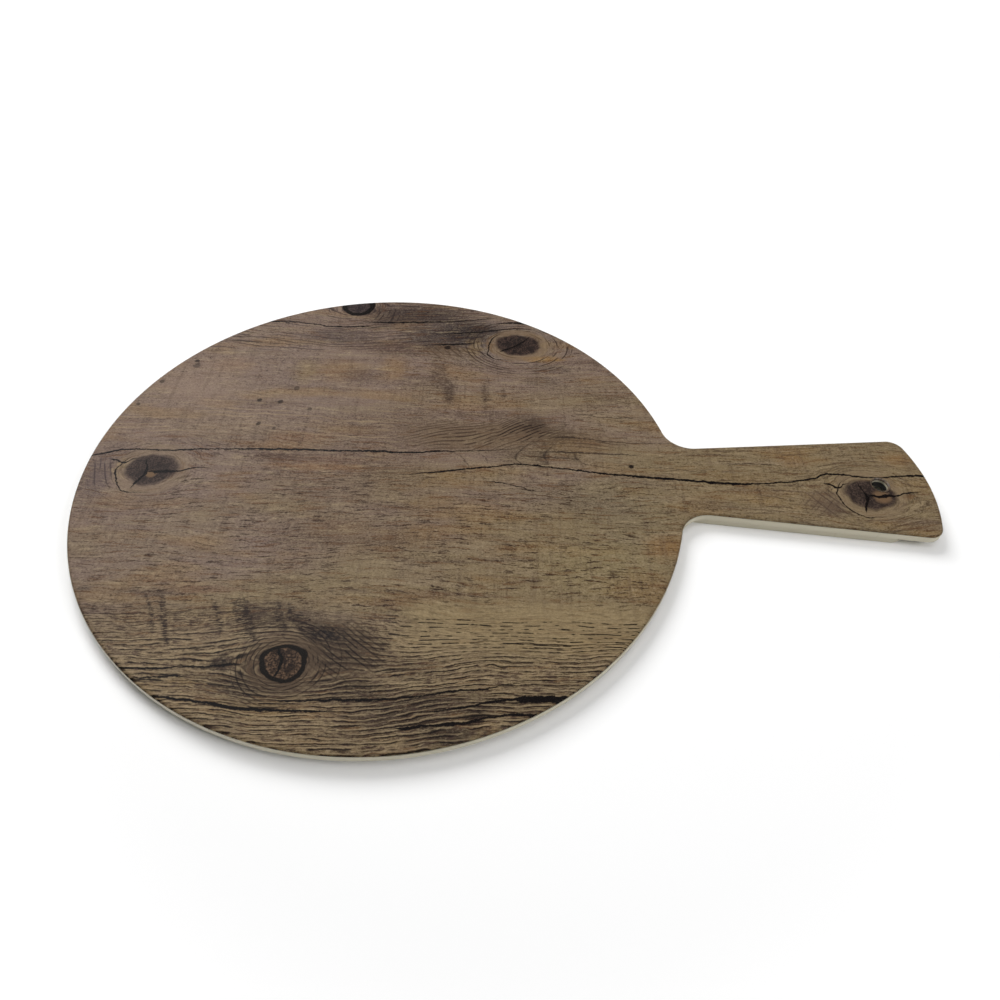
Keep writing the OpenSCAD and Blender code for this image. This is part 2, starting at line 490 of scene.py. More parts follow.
# Soft stains: (middle x, middle y, radius x, radius y, share, colour)
STAINS = [
    (-84, -2, 66, 58, 0.25, (92, 68, 38)), (52, -24, 30, 54, 0.2, (140, 134, 110)),
    (-16, 112, 60, 26, 0.28, (102, 108, 112)), (-178, 62, 36, 30, 0.55, (152, 132, 118)),
    (-150, 28, 40, 12, 0.45, (152, 133, 112)), (-196, 22, 20, 14, 0.35, (150, 130, 118)),
    (40, -60, 40, 22, 0.5, (152, 138, 104)), (12, -92, 44, 12, 0.45, (142, 124, 94)),
    (-162, -90, 16, 8, 0.45, (142, 122, 98)), (-100, -46, 22, 9, 0.4, (94, 74, 58)),
    (-106, -108, 20, 8, 0.35, (78, 66, 58)), (-122, 6.5, 16, 4.5, 0.75, (86, 62, 52)),
    (-95, 6, 24, 3.5, 0.35, (116, 86, 70)), (-100, 0.5, 34, 4, 0.45, (150, 112, 72)),
    (-122, 15, 24, 5, 0.35, (148, 112, 66)), (-112, 22, 22, 5, 0.3, (146, 104, 62)),
    (-100, 78, 20, 13, 0.45, (140, 108, 66)), (-120, 76, 8, 14, 0.35, (138, 118, 70)),
    (-70, 82, 10, 14, 0.4, (146, 112, 66)), (-88, 74, 16, 9, 0.5, (92, 74, 68)),
    (-162, 80, 16, 9, 0.3, (150, 118, 90)), (-44, 78, 7, 18, 0.55, (86, 70, 62)),
    (-37, 62, 5, 14, 0.6, (78, 64, 58)), (-17, 60, 4, 16, 0.45, (84, 70, 62)),
    (10, 36, 16, 11, 0.7, (64, 52, 46)), (20, 27, 18, 10, 0.6, (66, 55, 48)),
    (4, 14, 26, 9, 0.45, (82, 69, 58)), (15, 12, 4, 9, 0.45, (76, 66, 58)),
    (31, 13, 5, 8, 0.4, (80, 68, 58)), (34, 22, 22, 8, 0.35, (140, 110, 66)),
    (-30, 26, 30, 14, 0.4, (96, 78, 62)), (70, -46, 14, 9, 0.4, (148, 108, 64)),
    (58, -68, 22, 10, 0.3, (140, 106, 66)), (-42, -77, 18, 4, 0.6, (104, 74, 54)),
    (-55, -81, 14, 3.5, 0.5, (104, 74, 54)), (-84, -38, 15, 6, 0.45, (106, 76, 58)),
    (-62, -46, 34, 12, 0.4, (112, 92, 64)), (-62, 38, 44, 18, 0.35, (112, 95, 80)),
    (-46, -112, 22, 8, 0.4, (72, 60, 52)), (-145, -98, 30, 12, 0.35, (150, 130, 106)),
    (-136, -76, 22, 2.6, 0.5, (112, 80, 66)), (-106, -71, 14, 3, 0.35, (104, 80, 66)),
    (-104, -60, 12, 3, 0.35, (104, 80, 66)), (-160, -78.5, 22, 3, 0.55, (82, 68, 68)),
    (-189, -78, 6, 2.4, 0.6, (70, 60, 60)), (20, -14, 34, 12, 0.4, (118, 106, 92)),
    (45, -20, 24, 12, 0.35, (112, 100, 88)), (16, 74, 15, 6, 0.4, (88, 80, 72)),
    (20, 86, 20, 5, 0.4, (88, 80, 72)), (-206, -12, 10, 22, 0.45, (96, 82, 84)),
    (-198.5, -4, 2.6, 9, 0.7, (166, 146, 112)), (165, -5, 2.6, 9, 0.7, (166, 146, 112)),
    (-204, 14, 12, 9, 0.25, (90, 76, 76)), (-42, 114, 32, 17, 0.75, (60, 52, 54)),
    (-58, 136, 46, 15, 0.75, (62, 53, 53)), (-26, 122, 24, 12, 0.7, (48, 42, 45)),
    (-104, 111, 30, 10, 0.6, (84, 72, 72)), (-80, 126, 10, 9, 0.5, (60, 50, 50)),
    (-70, 101, 34, 9, 0.6, (84, 62, 56)), (-44, 103, 12, 5, 0.4, (60, 52, 54)),
    (-80, -101, 17, 13, 0.6, (48, 39, 37)), (-72, -108, 20, 15, 0.5, (54, 44, 40)),
    (-96, -89, 24, 9, 0.35, (70, 57, 52)), (-102, -120, 26, 12, 0.7, (60, 50, 45)),
    (-70, -122, 20, 8, 0.65, (54, 44, 40)), (-121, -113, 6, 5, 0.7, (56, 46, 44)),
    (-116, -88, 8, 8, 0.5, (76, 62, 56)), (-32, -129, 36, 10, 0.65, (74, 64, 56)),
    (-18, -132, 7, 6, 0.7, (48, 40, 36)), (-28, -141, 18, 8, 0.75, (50, 42, 38)),
    (-52, -133, 22, 9, 0.65, (56, 47, 43)), (-12, -138, 8, 5, 0.5, (150, 126, 92)),
    (18, 95, 14, 4, 0.6, (164, 128, 70)), (26, 106, 9, 12, 0.45, (120, 98, 78)),
    (-24, 104, 6, 14, 0.5, (148, 124, 86)), (205, 20, 10, 6, 0.35, (146, 108, 66)),
    (146, 16, 10, 8, 0.35, (138, 102, 66)), (112, 2, 26, 5, 0.3, (136, 110, 72)),
    (160, -18, 10, 6, 0.45, (78, 66, 64)), (98, -18, 16, 5, 0.35, (92, 76, 68)),
    (200, -26, 18, 5, 0.3, (98, 78, 76)),
]


# Darker ones that also cover the lines
DARK_STAINS = [
    (-81, -97, 10, 6, 0.85, (34, 32, 36)), (-74, -104, 22, 14, 0.4, (40, 34, 34)),
    (-104, -92, 20, 5, 0.3, (50, 40, 40)), (-106, -121, 22, 5, 0.5, (44, 35, 33)),
    (-30, 113, 14, 6, 0.6, (46, 40, 44)), (-20, 122, 14, 6, 0.6, (44, 39, 43)),
    (-60, 134, 30, 8, 0.4, (52, 45, 46)), (-121, -112, 5, 4, 0.85, (34, 28, 28)),
    (-112, -87, 5, 5, 0.4, (60, 48, 46)), (-18, -133, 6, 5, 0.75, (34, 28, 26)),
    (-64, -122, 14, 5, 0.5, (42, 34, 33)), (-40, -126, 18, 5, 0.5, (48, 40, 38)),
    (-30, -140, 10, 4, 0.5, (38, 31, 30)), (10, 37, 10, 6, 0.45, (48, 40, 38)),
]


# How stains are moved to get ragged edges: cloud noise and span, along x and then y
STAIN_RAGS = [((0.08, 0.3, 41.0, 3.0, 0.65), 16.0), ((0.08, 0.3, 43.0, 3.0, 0.65), 6.0)]
# Where a stain begins and where it is full, in shares of its radius
STAIN_FADE = (1.15, 0.25)


def reach_from(spot, middle, radii):
    """Distance from a middle, where each radius counts as 1."""
    scale = (1 / radii[0], 1 / radii[1], 0.0)
    offset = (-middle[0] / radii[0], -middle[1] / radii[1], 0.0)
    return length(aim(spot, scale, offset))


def stained(colour, spot, stains, grit=1.0):
    """Colour with every stain laid on it, each with ragged edges, by the share grit."""
    shift = vector(*[wander(spot, cloud, span) for cloud, span in STAIN_RAGS])
    moved = aim(spot, FLAT, shift)
    for middle_x, middle_y, radius_x, radius_y, share, tone in stains:
        reach = reach_from(moved, (middle_x, middle_y), (radius_x, radius_y))
        colour = paint(colour, srgb(*tone), fade(reach, *STAIN_FADE, share) * grit)
    return colour


class Rows(NamedTuple):
    """A set of thin grain lines, in mm."""

    spacing: float
    seed: float
    # Level of the noise along a line under which the line is broken, and that noise's scale
    broken: float
    run: float
    half_width: float
    # Width of the lines' soft edges
    soft: float
    # How far the lines lie above the middle of their rows
    rise: float = 0.0


# How far the rows drift across the grain, the scales of that drift, and how softly a line breaks
ROW_DRIFT = 3.6
DRIFT_SCALES = (0.025, 0.08)
GAP_FADE = 0.16


def rows(grain, lines):
    """Thin grain lines one spacing apart, each broken at its own places."""
    x, height, _ = parts(grain)
    drift = noise(grain, *DRIFT_SCALES, lines.seed, 2.0) * (ROW_DRIFT / lines.spacing)
    place = scaled(height, 1 / lines.spacing, drift)
    row = calc("FLOOR", place)
    across = scaled(place - row, lines.spacing, -0.5 * lines.spacing - lines.rise)
    along = noise(vector(x, row), lines.run, 3.7, lines.seed + 1.0, 2.0, 0.7)
    return stroke(across, fade(along, lines.broken, lines.broken + GAP_FADE, lines.half_width), lines.soft)


def zone(spot, bounds, soft):
    """1 inside the box (low x, high x, low y, high y), with edges soft mm wide."""
    x, y, _ = parts(spot)
    low_x, high_x, low_y, high_y = bounds
    result = fade(y, low_y - soft, low_y) * fade(y, high_y + soft, high_y)
    return result * fade(x, low_x - soft, low_x) * fade(x, high_x + soft, high_x)


def polar(spot, middle, stretch):
    """Distance from a knot's middle in mm, and the turn from its left side, in -0.5 to 0.5."""
    x, y, _ = parts(spot)
    u, v = scaled(x, stretch, -middle[0] * stretch), y - middle[1]
    distance = calc("SQRT", calc("MULTIPLY_ADD", u, u, v * v))
    return distance, calc("ARCTAN2", v * -1.0, u * -1.0) * (0.5 / math.pi)


class Knot(NamedTuple):
    """A knot of the print: lengths in mm, colours as in a picture."""

    middle: tuple
    # Below 1 the growth rings are longer along the grain than across it
    stretch: float
    seed: float
    # Growth rings: first and last radius, spacing, half width, share and colour
    span: tuple
    spacing: float
    half_width: float
    share: float
    tone: tuple
    # Core: its radii, and the dark and light colour of its speckle
    radii: tuple
    core_tones: tuple
    # Share of the radius that a black ring at the core's edge takes
    edge: float = 0.0
    # Light ring round the core: where it fades in from outside and from inside, share and colour
    halo: tuple = None


# Growth rings are drawn as rows, with this many mm along them in a whole turn
RING_TURN = 90.0
RING_BROKEN = 0.42
RING_RUN = 0.06
RING_SOFT = 0.4
KNOT_EDGE = srgb(16, 12, 12)
# Soft patches in a core where its light speckle is missing
CORE_PATCHES = (0.28, 0.28, 47.0, 2.0)


def knot_core(colour, spot, knot):
    """A knot's face: speckled between two colours, with or without a black ring at its edge."""
    uneven = wander(spot, (0.1, 0.1, knot.middle[0], 3.0), 0.4)
    reach = reach_from(spot, knot.middle, knot.radii) + uneven
    speck = noise(spot, 1.1, 1.1, knot.middle[1], 3.0, 0.7) + scaled(reach, 0.12, -0.06)
    dark, light = (srgb(*tone) for tone in knot.core_tones)
    face = paint(dark, light, fade(speck, 0.38, 0.66))
    face = paint(face, dark, fade(noise(spot, *CORE_PATCHES), 0.46, 0.62, 0.8))
    if not knot.edge:
        return paint(colour, face, fade(reach, 1.12, 0.84, 0.94))
    ring = abs(reach - (1 - knot.edge / 2))
    face = paint(face, KNOT_EDGE, fade(ring, knot.edge * 0.7, knot.edge * 0.45))
    return paint(colour, face, fade(reach, 1.08, 0.98, 0.96))


def knot_face(colour, spot, knot):
    """A knot's core, its light halo, and the thin broken rings round it, which fade outward."""
    distance, turn = polar(spot, knot.middle, knot.stretch)
    inner, outer = knot.span
    lines = Rows(knot.spacing, knot.seed, RING_BROKEN, RING_RUN, knot.half_width, RING_SOFT)
    rings = rows(vector(turn * RING_TURN, distance), lines)
    reach = fade(distance, inner - 1.0, inner + 0.5) * fade(distance, outer, (inner + outer) / 2, knot.share)
    colour = paint(colour, srgb(*knot.tone), rings * reach)
    if knot.halo:
        outside, inside, share, tone = knot.halo
        colour = paint(colour, srgb(*tone), fade(distance, *outside) * fade(distance, *inside, share))
    return knot_core(colour, spot, knot)


# A ring crack is (turn from the knot's left side, radius, half width)
SIDE_RING = [
    (-0.14, 13.6, 0), (-0.067, 14.6, 0.4), (-0.03, 14.8, 0.45), (0.01, 16.0, 0.55), (0.05, 15.8, 0.5),
    (0.118, 16.3, 0.55), (0.172, 17.0, 0.5), (0.23, 15.6, 0.35), (0.33, 15.7, 0),
]
TOP_RING = [
    (-0.15, 14.0, 0), (-0.096, 15.8, 0.4), (-0.048, 16.8, 0.55), (0.009, 17.5, 0.65), (0.059, 19.3, 0.5),
    (0.079, 21.0, 0.6), (0.117, 20.2, 0.6), (0.149, 18.6, 0.4), (0.19, 17.0, 0),
]

TOP_KNOT = Knot(
    middle=(2.5, 108.0), stretch=0.8, seed=67.0,
    span=(12.0, 34.0), spacing=2.2, half_width=0.5, share=0.9, tone=(60, 50, 46),
    radii=(14.0, 10.2), core_tones=((38, 32, 33), (84, 68, 62)),
    halo=((17.0, 13.5), (8.0, 11.0), 0.5, (134, 112, 86)),
)
LOW_KNOT = Knot(
    middle=(-96.2, -111.2), stretch=0.9, seed=71.0,
    span=(9.0, 26.0), spacing=1.7, half_width=0.4, share=0.9, tone=(34, 26, 25),
    radii=(10.1, 8.8), core_tones=((40, 30, 27), (116, 94, 76)), edge=0.2,
)
RIM_KNOT = Knot(
    middle=(-98.0, 142.0), stretch=0.9, seed=73.0,
    span=(10.0, 28.0), spacing=2.2, half_width=0.4, share=0.7, tone=(64, 54, 52),
    radii=(10.6, 9.4), core_tones=((50, 43, 46), (92, 80, 76)), edge=0.28,
)
# The two like knots at the ends of the middle crack, drawn at each middle
SIDE_KNOT = Knot(
    middle=(0.0, 0.0), stretch=0.92, seed=61.0,
    span=(11.0, 30.0), spacing=2.3, half_width=0.4, share=0.55, tone=(66, 54, 50),
    radii=(13.4, 10.4), core_tones=((48, 40, 40), (88, 74, 68)),
    halo=((19.0, 15.0), (9.0, 12.5), 0.4, (146, 128, 106)),
)
# Middle of each of them, and the middle and radii of its light patch from there
SIDE_KNOTS = [((-182.0, -5.0), (0.5, -3.0), (3.5, 3.18)), ((181.0, -7.0), (5.6, -1.6), (6.0, 5.45))]
KNOT_CRACK = srgb(26, 21, 21)
RING_CRACK_SOFT = 0.35

# Cracks inside and beside the two like knots, from their middles: along the grain, then across it
SIDE_KNOT_CRACKS = [
    [(-3, -2.2, 0), (0, -1.2, 0.5), (4, -1.6, 0.7), (8, -0.6, 0.9), (13, -0.6, 0.45), (18, 1.2, 0.4),
     (24, 2.4, 0.3), (30, 2.2, 0)],
    [(-24, 7.2, 0), (-19, 6.0, 0.6), (-15, 4.2, 0.5), (-12, 6.6, 0.4), (-7, 8.0, 0)],
]
SIDE_KNOT_CROSS_CRACKS = [
    [(-14, -6.4, 0), (-10, -5.4, 0.5), (-6, -3.6, 0.6), (-2, -2.2, 0.7), (1, -2.4, 0.5), (6, -4.2, 0.3),
     (9, -3.6, 0)],
]


def ring_crack(kinked, knot, stretch, points):
    """A crack that runs round a knot."""
    distance, turn = polar(kinked, knot.middle, stretch)
    radius, half = line_of(turn, points)
    return stroke(distance - radius, half, RING_CRACK_SOFT)


def side_knot(middle, patch, patch_radii):
    """Painter of one of the two like knots on the middle crack."""
    knot = SIDE_KNOT._replace(middle=middle)
    patch_middle = (middle[0] + patch[0], middle[1] + patch[1])

    def painter(colour, spot, grain, kinked):
        colour = knot_face(colour, spot, knot)
        light = reach_from(kinked, patch_middle, patch_radii)
        colour = paint(colour, srgb(132, 108, 84), fade(light, 1.0, 0.5, 0.8))
        ring = ring_crack(kinked, knot, knot.stretch, SIDE_RING)
        dark = calc("MAXIMUM", ring, cracks(kinked, SIDE_KNOT_CRACKS, 0.35, middle=middle))
        dark = calc("MAXIMUM", dark, cracks(kinked, SIDE_KNOT_CROSS_CRACKS, 0.35, True, middle))
        return paint(colour, KNOT_CRACK, dark)

    return painter


# Curved ribs between the two middle cracks: (y, x, half width)
RIBS = [
    [(2, -24, 0), (6, -25, 0.5), (10, -28, 0.5), (15, -33, 0.3), (18, -35, 0)],
    [(5, -14, 0), (9, -15, 0.5), (12, -17, 0.5), (16, -22, 0)],
    [(4, 5, 0), (8, 2, 0.6), (12, 0, 0.8), (16, 2, 0.6), (22, 7, 0.5), (28, 12, 0)],
    [(7, 20, 0), (10, 16, 0.6), (14, 15, 0.8), (19, 18, 0.5), (26, 24, 0)],
    [(10, 22, 0), (13, 21, 0.4), (18, 23, 0)],
    [(8, 36, 0), (11, 32, 0.6), (14, 31, 0.5), (20, 34, 0)],
]

TOP_KNOT_CRACK = [
    [(-10, 99, 0), (-7, 102, 0.5), (-3, 104.3, 0.5), (2, 108, 0.7), (6, 112, 0.6), (9, 116, 0.4),
     (11, 118, 0)],
]
LOW_KNOT_CRACK = [
    [(-120.4, -100, 0), (-117, -98.4, 0.4), (-111, -97.2, 0.7), (-106, -99, 0.5), (-103, -99.4, 0)],
]


def top_knot(colour, spot, grain, kinked):
    colour = knot_face(colour, spot, TOP_KNOT)
    ring = ring_crack(kinked, TOP_KNOT, 1.0, TOP_RING)
    dark = calc("MAXIMUM", ring, cracks(kinked, TOP_KNOT_CRACK, 0.35))
    return paint(colour, KNOT_CRACK, dark)


def low_knot(colour, spot, grain, kinked):
    distance, _ = polar(spot, LOW_KNOT.middle, LOW_KNOT.stretch)
    colour = paint(colour, srgb(104, 88, 72), fade(distance, 18.0, 11.0, 0.55))
    colour = knot_face(colour, spot, LOW_KNOT)
    return paint(colour, srgb(14, 10, 10), cracks(kinked, LOW_KNOT_CRACK, 0.35, True))


def rim_knot(colour, spot, grain, kinked):
    return knot_face(colour, spot, RIM_KNOT)


# Patches of slanting lines:
# (middle x, middle y, radius x, radius y, angle, spacing, half width, share, colour, ground colour)
SLANTS = [
    (-26, 27, 48, 15, 19, 2.2, 0.55, 0.95, (64, 50, 43), (122, 104, 84)),
    (4, 32, 26, 13, 33, 2.2, 0.6, 1.0, (48, 39, 36), (112, 94, 78)),
    (38, 26, 28, 12, 4, 2.4, 0.5, 0.75, (68, 54, 46), (122, 104, 84)),
    (-75, -105, 26, 17, -38, 2.0, 0.5, 1.0, (28, 22, 23), (98, 82, 68)),
    (-206, -8, 9, 14, -66, 2.6, 0.55, 0.9, (74, 64, 66), (118, 103, 98)),
    (157, -12, 12, 13, -50, 2.6, 0.55, 0.8, (72, 60, 56), (112, 95, 82)),
    (-79, 133, 13, 10, 80, 2.8, 0.7, 0.75, (56, 47, 45), (92, 78, 72)),
    (-38, 99, 22, 9, -50, 3.0, 0.6, 0.7, (72, 58, 48), (122, 102, 78)),
    (154, -15, 15, 9, 42, 2.4, 0.5, 0.6, (80, 66, 58), (112, 95, 82)),
]

# Small dark spots: (x, y, radius, share)
SPOTS = [
    (60, 7.5, 1.5, 0.95), (-183, 82, 1.5, 0.8), (-182, 78, 2.4, 0.5), (-197, 63, 1.6, 0.6),
    (-204, 43.5, 1.4, 0.6), (-140.5, 50, 1.5, 0.8), (-129, 49, 1.6, 0.75), (-122, 61, 1.8, 0.5),
    (-137, 31, 1.3, 0.7), (-128, 28, 1.2, 0.5), (-112, 44, 1.4, 0.5), (-40, 103, 2.0, 0.85),
]


# Saw marks across the grain, as columns of short dashes: (y, x, half width)
SAW_MARKS = [
    [(-108, -144, 0), (-100, -147, 1.3), (-90, -151, 1.4), (-80, -154, 1.0), (-77, -155, 0)],
    [(-104, -152, 0), (-96, -154, 1.0), (-86, -158, 1.2), (-80, -161, 0.9), (-77, -162, 0)],
    [(-102, -124, 0), (-94, -126, 1.2), (-86, -130, 1.6), (-79, -133, 0)],
    [(-104, -109, 0), (-98, -112, 1.6), (-90, -117, 3.0), (-82, -120, 2.6), (-78, -121, 0)],
    [(-101, -98, 0), (-97, -99, 1.4), (-90, -102, 2.0), (-83, -104, 1.2), (-80, -105, 0)],
    [(-102, -84, 0), (-97, -88, 3.0), (-90, -94, 3.4), (-84, -98, 1.6), (-81, -100, 0)],
]

# Fainter ones above the middle
FAINT_SAW_MARKS = [
    [(50, -36, 0), (58, -37, 2.2), (68, -38, 2.6), (78, -40, 0)],
    [(50, -16, 0), (58, -17, 1.8), (66, -17.5, 1.4), (74, -18, 0)],
    [(52, -6, 0), (60, -6, 1.6), (70, -7, 0)],
]


# Colours of the print's ground, from the upper left, where its pinkish grey is partly painted sheen, to the
# lower right, and of the clouds on it
PINKISH_AND_SHEEN = srgb(136, 118, 108)
OLIVE = srgb(140, 124, 97)
DARK_CLOUD = srgb(100, 83, 73)
LIGHT_CLOUD = srgb(152, 136, 114)
WARM_CLOUD = srgb(148, 118, 76)
LOW_CLOUD = srgb(156, 138, 110)

# Cloud noises of the ground
WIDE_CLOUDS = (0.012, 0.035, 1.3, 3.0, 0.55)
BAND_CLOUDS = (0.014, 0.16, 2.9, 3.0, 0.6)
WARM_CLOUDS = (0.016, 0.06, 5.2, 3.0, 0.55)
LOW_CLOUDS = (0.02, 0.1, 55.0, 3.0)


def print_base(spot):
    """Clouds of colour: pinkish grey at the upper left, partly print and partly painted sheen, olive-yellow
    at the lower right.
    """
    x, y, _ = parts(spot)
    # The greyer, bluer upper left is partly the print's own tone and partly painted sheen
    side = fade(calc("MULTIPLY_ADD", x, 0.5, y * -0.8), -130.0, 120.0)
    mix = fade(side + wander(spot, WIDE_CLOUDS, 1.4), 0.1, 0.9)
    band = noise(spot, *BAND_CLOUDS)
    colour = paint(paint(PINKISH_AND_SHEEN, OLIVE, mix), DARK_CLOUD, fade(band, 0.52, 0.8, 0.6))
    colour = paint(colour, LIGHT_CLOUD, fade(band, 0.5, 0.25, 0.5))
    colour = paint(colour, WARM_CLOUD, fade(noise(spot, *WARM_CLOUDS), 0.5, 0.72, 0.4))
    low = fade(noise(spot, *LOW_CLOUDS), 0.36, 0.6, 0.7)
    return paint(colour, LOW_CLOUD, fade(y, -84.0, -92.0) * low)


def print_stains(colour, spot, grain, kinked):
    return stained(colour, spot, STAINS)


# Colours of the fine grain
MOTTLE_DARK = srgb(62, 47, 40)
GRAIN_LIGHT = srgb(174, 158, 134)
CROSS_MARK = srgb(92, 76, 66)
DASH = srgb(56, 39, 32)
STREAK_RUST = srgb(104, 70, 42)
STREAK_LIGHT = srgb(176, 158, 128)
SPECK_DARK = srgb(52, 40, 36)

# Cloud noises of the fine grain
MOTTLE = (0.28, 0.75, 9.3, 4.0, 0.78)
PATCHES = (0.02, 0.05, 15.1, 2.0)
CROSS_MARKS = (0.28, 0.03, 11.7, 3.0, 0.7)
DASHES = (0.1, 0.95, 13.1, 3.0, 0.7)
STREAKS = (0.05, 0.55, 14.3, 3.0, 0.65)
SPECKS = (0.9, 1.6, 59.0, 3.0, 0.8)

# Where the dashes are strongest, and where dashes and streaks are weak: (low x, high x, low y, high y)
DASH_ZONE = (-165, 60, -82, -14)
CALM_ZONE = (-215, -70, 32, 96)


def print_grain(colour, spot, grain, kinked):
    """Mottle, faint cross marks, dashes, streaks and specks."""
    mottle, patches = noise(grain, *MOTTLE), noise(spot, *PATCHES)
    colour = paint(colour, MOTTLE_DARK, fade(mottle, 0.5, 0.76, 0.8) * fade(patches, 0.25, 0.65))
    colour = paint(colour, GRAIN_LIGHT, fade(mottle, 0.5, 0.26, 0.4))
    colour = paint(colour, CROSS_MARK, fade(noise(spot, *CROSS_MARKS), 0.5, 0.7, 0.28))
    share = scaled(zone(spot, DASH_ZONE, 14.0), 0.4, 0.5) * fade(patches, 0.2, 0.5)
    calm = scaled(zone(spot, CALM_ZONE, 16.0), -0.55, 1.0)
    colour = paint(colour, DASH, fade(noise(grain, *DASHES), 0.55, 0.65) * share * calm)
    streaks = noise(grain, *STREAKS)
    colour = paint(colour, STREAK_RUST, fade(streaks, 0.55, 0.69, 0.48) * calm)
    colour = paint(colour, STREAK_LIGHT, fade(streaks, 0.42, 0.3, 0.35))
    specks = noise(grain, *SPECKS)
    colour = paint(colour, SPECK_DARK, fade(specks, 0.5, 0.78, 0.7))
    return paint(colour, GRAIN_LIGHT, fade(specks, 0.5, 0.22, 0.5))


# Rows of grain lines. The low dark ones lie on the low pale ones, which show as their upper edges.
FINE_ROWS = Rows(1.3, 19.0, 0.4, 0.1, 0.32, 0.25)
DASH_ROWS = Rows(1.95, 57.0, 0.42, 0.14, 0.38, 0.25)
LOW_PALE_ROWS = Rows(2.1, 17.0, 0.3, 0.06, 0.42, 0.4, 0.75)
LOW_DARK_ROWS = Rows(2.1, 17.0, 0.38, 0.06, 0.38, 0.25)

# Pale rows above the middle, and dark rows at the top and on the handle:
# rows, the box that they lie in, width of its soft edges, colour and share
BOXED_ROWS = [
    (Rows(3.1, 53.0, 0.42, 0.02, 0.7, 0.7), (-215, -70, 24, 46), 8.0, (164, 144, 116), 0.6),
    (Rows(2.6, 51.0, 0.38, 0.03, 0.6, 0.6), (-190, -20, 98, 150), 8.0, (60, 50, 50), 0.8),
    (Rows(2.7, 58.0, 0.44, 0.045, 0.5, 0.5), (108, 216, -40, 40), 14.0, (78, 62, 54), 0.65),
]

# The lower right has a light plain ground, with short dashes in straight rows
PLAIN_ZONE = (-44, 74, -99, -86)
DASH_ROWS_ZONE = (-56, 62, -101, -89)
PLAIN_GROUND = srgb(168, 150, 116)
NEAR_BLACK = srgb(22, 17, 18)

# The low band: how its upper edge wanders, and the colours of its flecks and lines
EDGE_WANDER = ((0.03, 0.03, 28.0, 2.0), 24.0)
FLECKS = (0.2, 0.8, 29.0, 4.0, 0.75)
FLECK = srgb(74, 58, 54)
FINE_LINE = srgb(50, 38, 34)
LOW_PALE_LINE = srgb(172, 154, 124)
LOW_DARK_LINE = srgb(24, 18, 18)


def print_lines(colour, spot, grain, kinked):
    """Grain lines: above the middle, at the top, on the handle, and close together in the low band."""
    for lines, box, soft, tone, share in BOXED_ROWS:
        colour = paint(colour, srgb(*tone), rows(grain, lines) * zone(spot, box, soft) * share)
    _, y, _ = parts(spot)
    plain = zone(spot, PLAIN_ZONE, 12.0)
    low = fade(y + wander(spot, *EDGE_WANDER), -80.0, -94.0) * scaled(plain, -0.6, 1.0)
    colour = paint(colour, PLAIN_GROUND, plain * 0.45)
    colour = paint(colour, FLECK, fade(noise(grain, *FLECKS), 0.46, 0.66, 0.75) * low)
    colour = paint(colour, FINE_LINE, rows(grain, FINE_ROWS) * low * 0.8)
    colour = paint(colour, NEAR_BLACK, rows(spot, DASH_ROWS) * zone(spot, DASH_ROWS_ZONE, 3.0))
    _, height, _ = parts(grain)
    band = fade(height, -92.0, -99.0)
    colour = paint(colour, LOW_PALE_LINE, rows(grain, LOW_PALE_ROWS) * band * 0.6)
    return paint(colour, LOW_DARK_LINE, rows(grain, LOW_DARK_ROWS) * band * 0.9)


# How the slanting lines bend, and the speckle that breaks up the darkest stains
SLANT_BEND = ((0.02, 0.02, 27.0, 1.0), 12.0)
SPECKLE = (0.35, 0.8, 93.0, 4.0, 0.75)


def print_slants(colour, spot, grain, kinked):
    """Patches where the figure of the wood runs aslant, and the darkest stains."""
    bend = wander(spot, *SLANT_BEND)
    x, y, _ = parts(aim(spot, FLAT, vector(bend, bend * -1.0)))
    _, _, rough = parts(kinked)
    for number, patch in enumerate(SLANTS):
        middle_x, middle_y, radius_x, radius_y, angle, spacing, half_width, share, tone, ground = patch
        cos, sin = math.cos(math.radians(angle)), math.sin(math.radians(angle))
        turned = vector(calc("MULTIPLY_ADD", x, cos, y * sin), calc("MULTIPLY_ADD", x, -sin, y * cos))
        reach = reach_from(spot, (middle_x, middle_y), (radius_x, radius_y))
        reach = fade(reach * rough, 1.6, 0.5, share)
        lines = Rows(spacing, 81.0 + 3 * number, 0.36, 0.06, half_width, 0.5)
        colour = paint(colour, srgb(*ground), reach * 0.5)
        colour = paint(colour, srgb(*tone), rows(turned, lines) * reach)
    grit = fade(noise(spot, *SPECKLE), 0.42, 0.55)
    return stained(colour, spot, DARK_STAINS, scaled(grit, 0.8, 0.15))


# Breaks in the saw marks, and the colours of spots, marks and cracks
SAW_GRIT = (0.28, 1.3, 91.0, 3.0, 0.7)
SPOT_TONE = srgb(34, 27, 26)
SAW_TONE = srgb(44, 34, 34)
FAINT_SAW_TONE = srgb(70, 56, 50)
FAINT_CRACK_TONE = srgb(62, 52, 46)


def print_cracks(colour, spot, grain, kinked):
    for x, y, radius, share in SPOTS:
        reach = reach_from(kinked, (x, y), (radius, radius))
        colour = paint(colour, SPOT_TONE, fade(reach, 1.2, 0.6, share))
    grit = fade(noise(grain, *SAW_GRIT), 0.4, 0.6, 0.85)
    colour = paint(colour, SAW_TONE, cracks(kinked, SAW_MARKS, 1.2, True) * grit)
    colour = paint(colour, FAINT_SAW_TONE, cracks(kinked, FAINT_SAW_MARKS, 2.0, True) * grit * 0.8)
    colour = paint(colour, FAINT_CRACK_TONE, cracks(kinked, FAINT_CRACKS, 0.5) * 0.8)
    colour = paint(colour, FAINT_CRACK_TONE, cracks(kinked, RIBS, 0.9, True) * 0.7)
    return paint(colour, NEAR_BLACK, cracks(kinked, CRACKS, 0.35))


# Power that deepens the finished print
PRINT_GAMMA = 1.15


def after(colour, spot):
    """The same place, worked out only once the colour is known, which keeps the stack small."""
    return aim(colour, (NO_SHIFT, NO_SHIFT, NO_SHIFT), spot)


